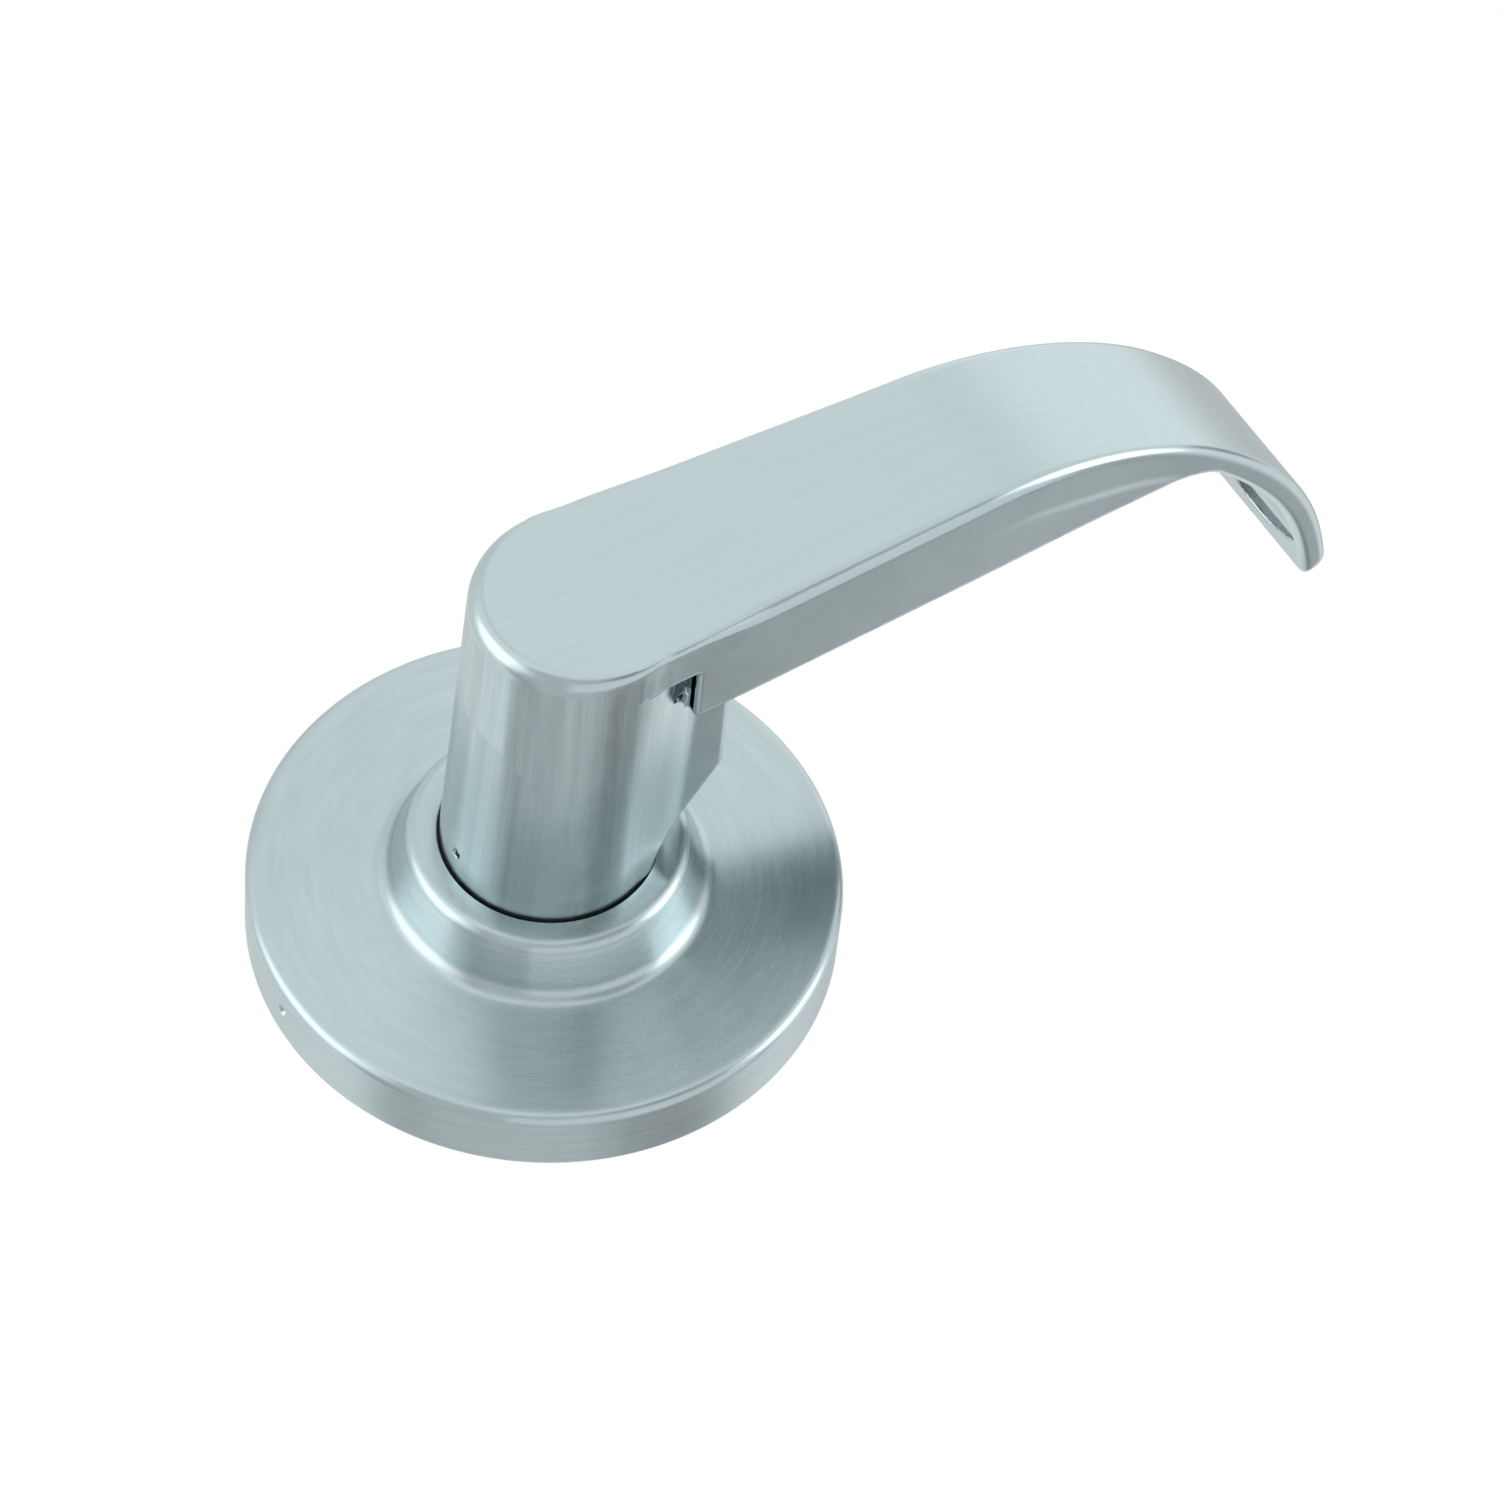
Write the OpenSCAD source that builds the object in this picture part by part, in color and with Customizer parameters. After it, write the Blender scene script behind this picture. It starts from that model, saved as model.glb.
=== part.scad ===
// Door lever trim: a cast lever turning in a round rose, with its spring return, spindle and fixings.
// Every module is drawn in the hub frame: +Z out of the door, +X along the lever. in_use() turns that frame
// so that the door plane stands upright: the lever points to +X, the room is at -Y and +Z is up.

/* [Rose] */
// Diameter of the rose
rose_d = 88.9; // [80:0.1:96]
// Height of the rose's side wall
rose_h = 11.3; // [11:0.1:13]
// Thickness of the rose's sheet metal
rose_t = 1.1; // [0.8:0.1:1.3]
// Height of the collar above the door
collar_h = 21.2; // [20.8:0.1:24]
// Diameter of the hole in the collar
collar_hole_d = 32.8; // [32.6:0.1:34.6]

/* [Lever] */
// Distance from the door to the flat top of the lever
lever_top = 75.4; // [72:0.1:82]
// Diameter of the hub where it enters the collar
hub_d = 32; // [31.4:0.1:32]
// Distance that the hub's top leans towards the grip
hub_lean = 2.6; // [0:0.1:3]
// Width of the lever over the hub
root_w = 32; // [30.6:0.1:32]
// Width of the lever at the start of the return
grip_w = 24.7; // [22:0.1:26]
// Distance from the hub's axis to the start of the bend
flat_end = 62.5; // [56:0.5:68]
// Radius of the bend
bend_r = 72; // [68:0.1:78]
// Angle of the bend at the soft crease where the return starts
bend_a = 46.6; // [44:0.1:49]
// Radius of the return
return_r = 59.8; // [56:0.1:66]
// Angle of the return at the same crease
return_from_a = 43.5; // [41:0.1:46]
// Angle at which the return ends
tip_a = 81.5; // [78:0.5:84]
// Thickness of the edge seen from the side along the return
edge_t = 4.3; // [3:0.1:4.8]
// Height of the skirt's lower edge above the door
skirt_z = 58; // [54:0.5:62]
// Thickness of the top wall over the channel
top_wall = 1.9; // [1.5:0.1:2.5]
// Thickness of the channel's side walls
side_wall = 2.4; // [2:0.1:3]

/* [Movement] */
// Turn of the lever each way
turn = 50; // [40:1:52]
// Travel of the lever catch
catch_travel = 2.7; // [2.4:0.1:3]
// Direction in which the catch points, from the lever
catch_a = 180; // [170:1:190]
// Height of the catch above the door
catch_z = 26; // [26:0.5:32]

/* [Fixings] */
// Spacing of the two threaded posts
post_spacing = 41.3; // [40:0.05:42]
// Diameter of the threaded posts
post_d = 7; // [6:0.1:7]
// Length of the threaded posts behind the door face
post_reach = 28; // [18:1:30]
// Diameter of the posts' threaded holes
post_hole_d = 4.2; // [3.4:0.1:4.4]
// Diameter of the spigot that centres the trim in the door's bore
spigot_d = 52.8; // [50:0.1:53.4]
// Side of the square drive bar
bar_side = 8; // [7:0.5:8]
// Reach of the square drive bar behind the door face
bar_reach = 50; // [38:1:80]

/* [Hidden] */
$fn = 96;

rose_r = rose_d / 2;
hub_r = hub_d / 2;
hole_r = collar_hole_d / 2;

// Rose outline: rounded front edge, a face that rises a little inwards, a fillet and a sloping collar
rim_round = 1.4;
face_r = 25.6;
face_rise = 0.6;
fillet_r = 2.6;
collar_top_r = 21.2;
collar_round = 1.6;
dimple_r = 1.3;
dimple_z = 5.6;
dimple_angles = [0, 180];

// Mounting plate: a disc with a raised rim that the rose snaps over
plate_z = 0.3;
plate_t = 2;
plate_top = plate_z + plate_t;
rim_out = 42.7;
rim_in = 41.3;
rim_top = 8.3;
rim_hole_r = 1.6;
spigot_wall = 2;
spigot_len = 3.2;

// Spring cage: a cup on the plate with a tube that carries the collar bushing
cage_r = 31.6;
cage_wall = 1.4;
cage_top = 9.8;
cage_t = 1.2;
tube_out = 20.45;
tube_in = 19.35;
tube_top = 16.4;
ear_r = 34.4;
ear_out = 3.4;
ear_t = 1.2;
ear_angles = [45, 135, 225, 315];
cage_screw_r = 1.45;
cage_screw_head_r = 2.6;
cage_screw_head_h = 1.8;
post_neck_r = 2.6;

// Gap between parts that turn or slide, and between parts pressed together
run = 0.06;
push = 0.02;

// Driver plate and the shank that stands on it
driver_z = 3.5;
driver_t = 2.7;
shank_z = driver_z + driver_t;
driver_r = 19.2;
lug_r = 29.4;
paddle_half = 5;
stop_half = 12;
block_to = 89 - stop_half - turn;
block_from = block_to - 15;
dog_r = 1.6;
dog_at = 13.6;
dog_h = 3.4;

// Spindle
spindle_r = 11;
spindle_in = 9;
spindle_tail = 30;
spindle_top = 46;
tail_r = 10.6;
tail_len = 19.5;
socket_r = spindle_r + run;
bushing_out = spindle_r + 2.9;
bushing_back = 1.6;
bushing_flange_r = 17.5;
bushing_flange_t = 0.9;
washer_r = 17;
plate_hole_r = bushing_out + 0.05;
ring_out = spindle_r + 1.9;
ring_eye_at = [2.6, spindle_r + 2.2];
ring_eye_r = 1.6;
ring_eye_hole_r = 0.7;
groove_z = -3.5;
groove_w = 1.1;
groove_r = 10.2;
slot_w = 4;
slot_len = 7;
core_back = -28;
core_front = 36;
pin_z = 17;
pin_r = 1.25;
bar_in_core = 11;
bar_gap = 0.05;
bar_end_gap = 0.5;
bar_chamfer = 0.5;

// Return springs, bent along the cage's channel
spring_mean_r = 25.5;
spring_coil_r = 2.35;
spring_wire_r = 0.5;
spring_z = 5.45;
spring_turns = 11;
spring_from = 278;
spring_span = 91;

// Catch
catch_r = 2.5;
catch_tip = spindle_r - 0.1 + catch_travel;
catch_tail = 2;
catch_seat = -5;
catch_hole_end = 14.2;
pick_hole_r = 0.8;

// Lever blade
hub_base_z = 24;
root_x = 5;
narrow_x = 97;
notch_from = 9.6;
skirt_from = 13.4;
notch_top = 67.5;
notch_floor = 60;
notch_half = 10.8;
web_half = 12.2;
web_end = 21.6;
web_corner_z = 39;
web_foot_z = 26;
channel_from = 22.5;
channel_end_a = tip_a - 21;
pocket_from_a = tip_a - 12.5;
pocket_to_a = tip_a - 4.4;
pocket_half = 10.2;
bend_x = flat_end;
bend_z = lever_top - bend_r;
return_x = bend_x + bend_r * sin(bend_a) - return_r * sin(return_from_a);
return_z = bend_z + bend_r * cos(bend_a) - return_r * cos(return_from_a);

module in_use() {
    rotate([90, 0, 0]) children();
}

// Points of an arc about (cx, cy) from angle a to angle b
function arc(cx, cy, r, a, b, n = 10) =
    [for (i = [0:n]) [cx + r * cos(a + (b - a) * i / n), cy + r * sin(a + (b - a) * i / n)]];

// Tube of revolution from z0 to z1
module ring(r_out, r_in, z0, z1) {
    translate([0, 0, z0]) difference() {
        cylinder(h = z1 - z0, r = r_out);
        translate([0, 0, -1]) cylinder(h = z1 - z0 + 2, r = r_in);
    }
}

// Sector of a ring between two angles
module ring_sector(r_out, r_in, z0, z1, a0, a1) {
    translate([0, 0, z0]) rotate([0, 0, a0])
        rotate_extrude(angle = a1 - a0)
            translate([r_in, 0]) square([r_out - r_in, z1 - z0]);
}

// The rose's outline, drawn inwards by t
function rose_outline(t) = concat(
    [[rose_r - t, 0]],
    arc(rose_r - rim_round, rose_h - rim_round, rim_round - min(t, rim_round - 0.2), 0, 88),
    [[face_r + fillet_r * 0.35, rose_h + face_rise - t]],
    arc(face_r, rose_h + face_rise + fillet_r, fillet_r + t, 262, 192, 8),
    arc(collar_top_r - collar_round, collar_h - collar_round, collar_round - t, 8, 90, 8)
);

module rose() {
    color("lightsteelblue") {
        rotate_extrude(convexity = 6) difference() {
            polygon(concat(rose_outline(0), [[hole_r, collar_h], [hole_r, 0]]));
            polygon(concat([[rose_r - rose_t, -1]], rose_outline(rose_t), [[hole_r - 1, collar_h - rose_t],
                [hole_r - 1, -1]]));
        }
        for (a = dimple_angles) rotate([0, 0, a])
            translate([rim_out - 0.5, 0, dimple_z]) rotate([0, 90, 0])
                cylinder(h = rose_r - rose_t / 2 - rim_out + 0.5, r1 = dimple_r * 0.6, r2 = dimple_r);
    }
}

module collar_bushing() {
    color("ivory") ring(tube_in - push, hub_r + run, cage_top + 0.1, collar_h - rose_t - 0.3);
}

module mounting_plate() {
    color("gray") difference() {
        union() {
            ring(rim_out, plate_hole_r, plate_z, plate_top);
            ring(rim_out, rim_in, plate_z, rim_top);
            ring(spigot_d / 2, spigot_d / 2 - spigot_wall, -spigot_len, plate_z + 1);
        }
        for (a = dimple_angles) rotate([0, 0, a])
            translate([rim_in - 1, 0, dimple_z]) rotate([0, 90, 0]) cylinder(h = 4, r = rim_hole_r);
        for (s = [-1, 1]) translate([0, s * post_spacing / 2, -1])
            cylinder(h = plate_top + 2, r = post_neck_r + push);
        for (a = ear_angles) rotate([0, 0, a])
            translate([ear_r, 0, -1]) cylinder(h = plate_top + 2, r = cage_screw_r + 0.05);
    }
}

module spring_cage() {
    color("darkgray") difference() {
        union() {
            ring(cage_r, cage_r - cage_wall, plate_top, cage_top);
            ring(cage_r, tube_in, cage_top - cage_t, cage_top);
            ring(tube_out, tube_in, cage_top - cage_t, tube_top);
            for (a = [block_from, 180 - block_to])
                ring_sector(cage_r - cage_wall / 2, tube_out, plate_top, cage_top - cage_t / 2,
                            a, a + block_to - block_from);
            for (a = ear_angles) rotate([0, 0, a]) translate([0, 0, plate_top])
                hull() {
                    translate([ear_r, 0, 0]) cylinder(h = ear_t, r = ear_out - 0.6);
                    translate([cage_r - cage_wall / 2 - 1, -ear_out, 0]) cube([1, 2 * ear_out, ear_t]);
                }
        }
        for (a = ear_angles) rotate([0, 0, a])
            translate([ear_r, 0, plate_top - 1]) cylinder(h = ear_t + 2, r = cage_screw_r + 0.15);
    }
}

// Pan head screw standing on z = 0 with a cross recess, its shaft going down
module pan_screw(r, head_r, head_h, length, recess) {
    difference() {
        union() {
            cylinder(h = head_h, r = head_r);
            translate([0, 0, -length]) cylinder(h = length + head_h / 2, r = r);
        }
        for (a = [0, 90]) rotate([0, 0, a])
            translate([-recess, -recess / 4, head_h / 2]) cube([2 * recess, recess / 2, head_h]);
    }
}

module cage_screws() {
    color("silver") for (a = ear_angles) rotate([0, 0, a])
        translate([ear_r, 0, plate_top + ear_t])
            pan_screw(cage_screw_r, cage_screw_head_r, cage_screw_head_h, plate_t + ear_t - 0.2, 1.5);
}

// Internally threaded posts, their necks swaged into the mounting plate
module mounting_posts() {
    color("silver") for (s = [-1, 1]) translate([0, s * post_spacing / 2, 0]) difference() {
        union() {
            translate([0, 0, -post_reach]) cylinder(h = post_reach + plate_z, r = post_d / 2);
            translate([0, 0, plate_z - 1]) cylinder(h = plate_t + 1, r = post_neck_r);
        }
        translate([0, 0, -post_reach - 1]) cylinder(h = post_reach - 3, r = post_hole_d / 2, $fn = 48);
    }
}

// Lug of the driver plate about angle a, reaching a round outer edge
module lug_outline(a, half) {
    intersection() {
        circle(r = lug_r);
        polygon([[0, 0], 40 * [cos(a - half), sin(a - half)], 40 * [cos(a + half), sin(a + half)]]);
    }
}

module driver_plate() {
    color("slategray") {
        translate([0, 0, driver_z]) linear_extrude(height = driver_t) difference() {
            union() {
                circle(r = driver_r);
                lug_outline(270, paddle_half);
                lug_outline(90, stop_half);
            }
            circle(r = spindle_r + push);
        }
        for (a = [0, 180]) rotate([0, 0, a])
            translate([dog_at, 0, shank_z - 1]) cylinder(h = dog_h + 1, r = dog_r, $fn = 48);
    }
}

// Coil whose axis is an arc in the cage's channel, from angle a over the given span
spring_sides = 8;
spring_steps = 14;
function channel_point(a, r_off, z_off) =
    [(spring_mean_r + r_off) * cos(a), (spring_mean_r + r_off) * sin(a), spring_z + z_off];
function coil_frame(k, n, a, span) =
    let (t = k / n, b = a + span * t, w = 360 * spring_turns * t)
    [b, spring_coil_r * cos(w), spring_coil_r * sin(w), w];
function coil_ring(f) = [for (j = [0:spring_sides - 1])
    let (u = 360 * j / spring_sides, d = spring_wire_r * cos(u), s = spring_wire_r * sin(u),
         p = channel_point(f[0], f[1] + d * cos(f[3]), f[2] + d * sin(f[3])))
    [p[0] - s * sin(f[0]), p[1] + s * cos(f[0]), p[2]]];

module tube_mesh(rings, sides) {
    n = len(rings);
    polyhedron(
        points = [for (r = rings) each r],
        faces = concat(
            [[for (j = [0:sides - 1]) sides - 1 - j]],
            [[for (j = [0:sides - 1]) (n - 1) * sides + j]],
            [for (i = [0:n - 2], j = [0:sides - 1])
                let (k = (j + 1) % sides)
                [i * sides + j, i * sides + k, (i + 1) * sides + k, (i + 1) * sides + j]]
        )
    );
}

module arc_spring(a, span) {
    n = spring_turns * spring_steps;
    tube_mesh([for (k = [0:n]) coil_ring(coil_frame(k, n, a, span))], spring_sides);
}

module return_spring_lower_right() {
    color("gainsboro") arc_spring(spring_from, spring_span);
}

module return_spring_lower_left() {
    color("gainsboro") mirror([1, 0, 0]) arc_spring(spring_from, spring_span);
}

// Turns the catch's own axis, +X, to its direction round the hub
module along_catch() {
    translate([0, 0, catch_z]) rotate([0, 0, catch_a]) rotate([0, 90, 0]) children();
}

module spindle() {
    color("dimgray") difference() {
        ring(spindle_r, spindle_in, -spindle_tail, spindle_top);
        ring(spindle_r + 1, groove_r, groove_z, groove_z + groove_w);
        ring(spindle_r + 1, tail_r, -spindle_tail - 1, tail_len - spindle_tail);
        along_catch() cylinder(h = spindle_r + 2, r = catch_r + 0.1, $fn = 48);
        translate([0, spindle_r + 1, pin_z]) rotate([90, 0, 0])
            cylinder(h = 2 * spindle_r + 2, r = pin_r + push, $fn = 48);
        translate([-slot_w / 2, -spindle_r - 1, -spindle_tail - 1])
            cube([slot_w, 2 * spindle_r + 2, slot_len + 1]);
    }
}

module spindle_core() {
    hole = bar_side + 2 * bar_gap;
    color("lightgray") difference() {
        translate([0, 0, core_back]) cylinder(h = core_front - core_back, r = spindle_in - push);
        translate([-hole / 2, -hole / 2, core_back - 1]) cube([hole, hole, bar_in_core - core_back + 1]);
        translate([0, spindle_r, pin_z]) rotate([90, 0, 0])
            cylinder(h = 2 * spindle_r, r = pin_r + push, $fn = 48);
        along_catch() translate([0, 0, catch_seat])
            cylinder(h = spindle_r - catch_seat, r = catch_r + run, $fn = 48);
    }
}

module core_pin() {
    pin_half = spindle_r - 0.2;
    color("silver") translate([0, pin_half, pin_z]) rotate([90, 0, 0]) difference() {
        cylinder(h = 2 * pin_half, r = pin_r, $fn = 48);
        translate([0, 0, -1]) cylinder(h = 2 * pin_half + 2, r = pin_r * 0.6, $fn = 48);
        translate([-0.25, 0, -1]) cube([0.5, pin_r * 2, 2 * pin_half + 2]);
    }
}

module square_bar() {
    back_r = (bar_side / 2 - bar_chamfer) * sqrt(2);
    whole = bar_reach + bar_in_core;
    color("silver") intersection() {
        translate([-bar_side / 2, -bar_side / 2, -bar_reach])
            cube([bar_side, bar_side, whole - bar_end_gap]);
        rotate([0, 0, 45]) translate([0, 0, -bar_reach])
            cylinder(h = whole, r1 = back_r, r2 = back_r + whole * tan(30), $fn = 4);
    }
}

module spindle_bushing() {
    color("ivory") {
        ring(bushing_out, socket_r, -bushing_back, plate_top + bushing_flange_t / 2);
        ring(bushing_flange_r, socket_r, plate_top, plate_top + bushing_flange_t);
    }
}

module thrust_washer() {
    color("peru") ring(washer_r, spindle_r + 0.3, plate_top + bushing_flange_t, driver_z - push);
}

// Thin ring whose height swings three times round the circle
wave_steps = 72;
module wave_washer() {
    swing = 0.22;
    t = 0.3;
    r1 = 11.4;
    r2 = 14.6;
    low = groove_z + groove_w + swing + run;
    function wave(i) = low + swing * sin(3 * 360 * i / wave_steps);
    function wave_ring(i) = let (a = 360 * i / wave_steps, z = wave(i)) [
        [r1 * cos(a), r1 * sin(a), z], [r2 * cos(a), r2 * sin(a), z],
        [r2 * cos(a), r2 * sin(a), z + t], [r1 * cos(a), r1 * sin(a), z + t]
    ];
    color("silver") polyhedron(
        points = [for (i = [0:wave_steps - 1]) each wave_ring(i)],
        faces = [for (i = [0:wave_steps - 1], j = [0:3])
            let (k = (j + 1) % 4, m = (i + 1) % wave_steps)
            [i * 4 + j, i * 4 + k, m * 4 + k, m * 4 + j]]
    );
}

module retaining_ring() {
    color("silver") difference() {
        union() {
            ring(ring_out, groove_r + 0.05, groove_z + 0.05, groove_z + groove_w - 0.05);
            for (s = [-1, 1]) translate([s * ring_eye_at[0], ring_eye_at[1], groove_z + 0.05])
                cylinder(h = groove_w - 0.1, r = ring_eye_r, $fn = 48);
        }
        translate([-1, 0, groove_z - 1]) cube([2, spindle_r + 8, groove_w + 2]);
        for (s = [-1, 1]) translate([s * ring_eye_at[0], ring_eye_at[1], groove_z - 1])
            cylinder(h = groove_w + 2, r = ring_eye_hole_r, $fn = 48);
    }
}

module catch_plunger() {
    color("silver") along_catch() union() {
        translate([0, 0, catch_tail]) cylinder(h = catch_tip - catch_tail - 0.8, r = catch_r, $fn = 48);
        translate([0, 0, catch_tip - 0.9])
            cylinder(h = 0.9, r1 = catch_r - 0.02, r2 = catch_r - 0.8, $fn = 48);
    }
}

catch_coils = 4.5;
module catch_spring() {
    wire = 0.28;
    coil = 1.9;
    steps = 16;
    length = catch_tail - catch_seat - 2 * wire - 0.1;
    n = floor(catch_coils * steps);
    rings = [for (k = [0:n])
        let (w = 360 * k / steps, z = catch_seat + wire + 0.05 + length * k / n)
        [for (j = [0:5]) let (u = 60 * j, r = coil + wire * cos(u))
            [r * cos(w), r * sin(w), z + wire * sin(u)]]];
    color("gainsboro") along_catch() tube_mesh(rings, 6);
}

// Points on the bend and on the return, t inside their outer face, at angle a from the door's normal
function bend_point(a, t) = [bend_x + (bend_r - t) * sin(a), bend_z + (bend_r - t) * cos(a)];
function return_point(a, t) = [return_x + (return_r - t) * sin(a), return_z + (return_r - t) * cos(a)];
function bend_run(a, b, t, n) = [for (i = [0:n]) bend_point(a + (b - a) * i / n, t)];
function return_run(a, b, t, n) = [for (i = [0:n]) return_point(a + (b - a) * i / n, t)];

module side_slab(half) {
    translate([0, half, 0]) rotate([90, 0, 0]) linear_extrude(height = 2 * half) children();
}

// Plan of the lever seen from the room, narrowed by t each side
module plan(t) {
    polygon([
        [root_x, -root_w / 2 + t], [narrow_x, -grip_w / 2 + t], [140, -grip_w / 2 + t + 0.2],
        [140, grip_w / 2 - t - 0.2], [narrow_x, grip_w / 2 - t], [root_x, root_w / 2 - t]
    ]);
}

module plan_prism(t) {
    translate([0, 0, 10]) linear_extrude(height = 70) plan(t);
}

// Side view in X and Z: flat top, bend, return, its inner face, the straight skirt and the notch
module blade_side() {
    meet_a = acos((skirt_z - bend_z) / (bend_r - edge_t));
    polygon(concat(
        [[root_x, lever_top]],
        bend_run(0, bend_a, 0, 18),
        return_run(return_from_a + 2, tip_a, 0, 12),
        return_run(tip_a, return_from_a + 2, edge_t, 12),
        bend_run(bend_a, meet_a, edge_t, 6),
        [[skirt_from, skirt_z], [skirt_from, notch_top], [root_x, notch_top]]
    ));
}

// Side view of the channel under the top wall
module channel_side() {
    polygon(concat(
        [[channel_from, lever_top - top_wall - 1.2]],
        bend_run(8, bend_a, top_wall, 14),
        return_run(return_from_a + 2, channel_end_a, top_wall, 6),
        return_run(channel_end_a, return_from_a + 2, edge_t + 9, 6),
        [[channel_from + 50, skirt_z - 20], [channel_from, skirt_z - 20]]
    ));
}

// Side view of the shallow pocket in the return's inner face
module pocket_side() {
    polygon(concat(
        return_run(pocket_from_a, pocket_to_a, top_wall, 4),
        return_run(pocket_to_a, pocket_from_a, edge_t + 3, 4)
    ));
}

module lever_blade() {
    difference() {
        intersection() {
            side_slab(20) blade_side();
            plan_prism(0);
        }
        intersection() {
            side_slab(20) channel_side();
            plan_prism(side_wall);
        }
        side_slab(pocket_half) pocket_side();
    }
}

module lever_web() {
    side_slab(web_half) polygon([
        [hub_r - 8, web_foot_z - 1], [hub_r - 3.6, web_foot_z], [web_end, web_corner_z],
        [web_end, notch_floor], [hub_r - 8, notch_floor]
    ]);
    side_slab(notch_half) translate([hub_r - 8, notch_floor - 1])
        square([web_end - hub_r + 8, notch_top - notch_floor + 3]);
}

module lever_hub() {
    translate([0, 0, shank_z]) cylinder(h = hub_base_z - shank_z, r = hub_r);
    hull() {
        translate([0, 0, hub_base_z - 1]) cylinder(h = 1, r = hub_r - 0.01, $fn = 72);
        translate([hub_lean, 0, lever_top - 2])
            cylinder(h = 2, r1 = root_w / 2 - 0.2, r2 = root_w / 2 - 0.7, $fn = 72);
    }
}

module lever() {
    color("lightsteelblue") difference() {
        union() {
            lever_hub();
            lever_blade();
            lever_web();
        }
        translate([0, 0, shank_z - 1]) cylinder(h = spindle_top + 1.5 - shank_z + 1, r = socket_r);
        for (a = [0, 180]) rotate([0, 0, a])
            translate([dog_at, 0, shank_z - 1]) cylinder(h = dog_h + 1.3, r = dog_r + run, $fn = 48);
        along_catch() cylinder(h = catch_hole_end, r = catch_r + 0.1, $fn = 48);
        along_catch() cylinder(h = hub_r + 2, r = pick_hole_r, $fn = 48);
        for (s = [-1, 1]) translate([notch_from, s > 0 ? notch_half : -20, notch_floor])
            cube([skirt_from - notch_from, 20 - notch_half, notch_top - notch_floor]);
    }
}

in_use() lever();
in_use() rose();
in_use() collar_bushing();
in_use() mounting_plate();
in_use() spring_cage();
in_use() cage_screws();
in_use() driver_plate();
in_use() return_spring_lower_right();
in_use() return_spring_lower_left();
in_use() spindle();
in_use() spindle_core();
in_use() core_pin();
in_use() square_bar();
in_use() spindle_bushing();
in_use() thrust_washer();
in_use() wave_washer();
in_use() retaining_ring();
in_use() catch_plunger();
in_use() catch_spring();
in_use() mounting_posts();
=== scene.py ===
"""Looks of a satin door lever trim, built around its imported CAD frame.

The lever is modelled in its hub frame, in millimetres: +x along the grip, +z out of the door, y across.
to_world() turns that frame into the row frame in metres: (x, y, z) becomes (x, -z, y).
"""

import math

import bpy
import numpy as np
from mathutils import Matrix, Vector


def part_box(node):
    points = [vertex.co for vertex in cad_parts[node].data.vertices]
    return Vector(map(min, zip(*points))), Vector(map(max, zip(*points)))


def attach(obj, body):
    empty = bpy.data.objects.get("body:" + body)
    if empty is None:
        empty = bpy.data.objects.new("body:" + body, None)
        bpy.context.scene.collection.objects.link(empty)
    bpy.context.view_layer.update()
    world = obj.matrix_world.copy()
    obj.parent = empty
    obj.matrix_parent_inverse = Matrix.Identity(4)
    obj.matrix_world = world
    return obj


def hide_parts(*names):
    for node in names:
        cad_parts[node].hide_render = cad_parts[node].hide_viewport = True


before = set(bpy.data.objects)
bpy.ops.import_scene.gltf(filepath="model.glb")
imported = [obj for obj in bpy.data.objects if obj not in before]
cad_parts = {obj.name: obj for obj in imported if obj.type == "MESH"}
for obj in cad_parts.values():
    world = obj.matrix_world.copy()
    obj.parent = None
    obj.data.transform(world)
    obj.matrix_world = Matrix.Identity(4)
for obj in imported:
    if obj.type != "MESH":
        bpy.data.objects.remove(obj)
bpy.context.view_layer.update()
MM = 0.001


def to_world(points):
    """Points of the hub frame in millimetres, as points of the row frame in metres."""
    x, y, z = np.asarray(points, float).T
    return np.stack([x, -z, y], 1) * MM


def turn_to_world(directions):
    x, y, z = np.asarray(directions, float).T
    return np.stack([x, -z, y], 1)


# ---------------------------------------------------------------- sizes in millimetres
# the first ones come from the CAD boxes, and the rest follow the CAD solids or refine them
LEVER_LOW, LEVER_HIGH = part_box("lever")
ROSE_LOW, ROSE_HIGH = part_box("rose")
LEVER_TOP = -LEVER_LOW.y / MM
SHANK_Z = -LEVER_HIGH.y / MM
ROSE_R = ROSE_HIGH.x / MM
COLLAR_H = -ROSE_LOW.y / MM

HUB_R = 16.0
HUB_TOP_R = 15.95
HUB_LEAN = 2.8
HUB_BASE_Z = 24.0

FLAT_END = 62.5
BEND_R = 72.0
CREASE_A = math.radians(46.6)
RETURN_FROM_A = math.radians(43.5)
RETURN_R = 59.8
TIP_Z = 18.3
TIP_ROUND = 3.3
CHANNEL_END_A = math.radians(60)
POCKET_FROM_A = math.radians(71)
POCKET_TO_A = math.radians(77.1)
POCKET_HALF = 10.2
POCKET_CROWN = 4.4
POCKET_POWER = 2.2
POCKET_BELOW_Z = 40.0
FAR_OFF = 50.0
BEND_X, BEND_Z = FLAT_END, LEVER_TOP - BEND_R
RETURN_X = BEND_X + BEND_R * math.sin(CREASE_A) - RETURN_R * math.sin(RETURN_FROM_A)
RETURN_Z = BEND_Z + BEND_R * math.cos(CREASE_A) - RETURN_R * math.cos(RETURN_FROM_A)

CREASE_SOFT = 0.4

# half of the blade's width: along the grip, its taper towards the hub, a slight swelling, the shoulder
GRIP_HALF = 11.75
TAPER = 0.0435
TAPER_END = 95.0
TAPER_SOFT = 12.0
SWELL = 0.1
SWELL_AT = 8.0
SHOULDER = 0.35
SHOULDER_OVER = (8, 26)

# rounding of the outer face's edge beside the hub, and what is added or taken away along x
FACE_EDGE = 0.9
FACE_EDGE_BEHIND = 1.5
BEHIND_OVER = (-12, 8)
FACE_EDGE_GRIP = 1.1
GRIP_OVER = (12, 26)
FACE_EDGE_BEND = 0.4
BEND_OVER = (55, 75)

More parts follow.
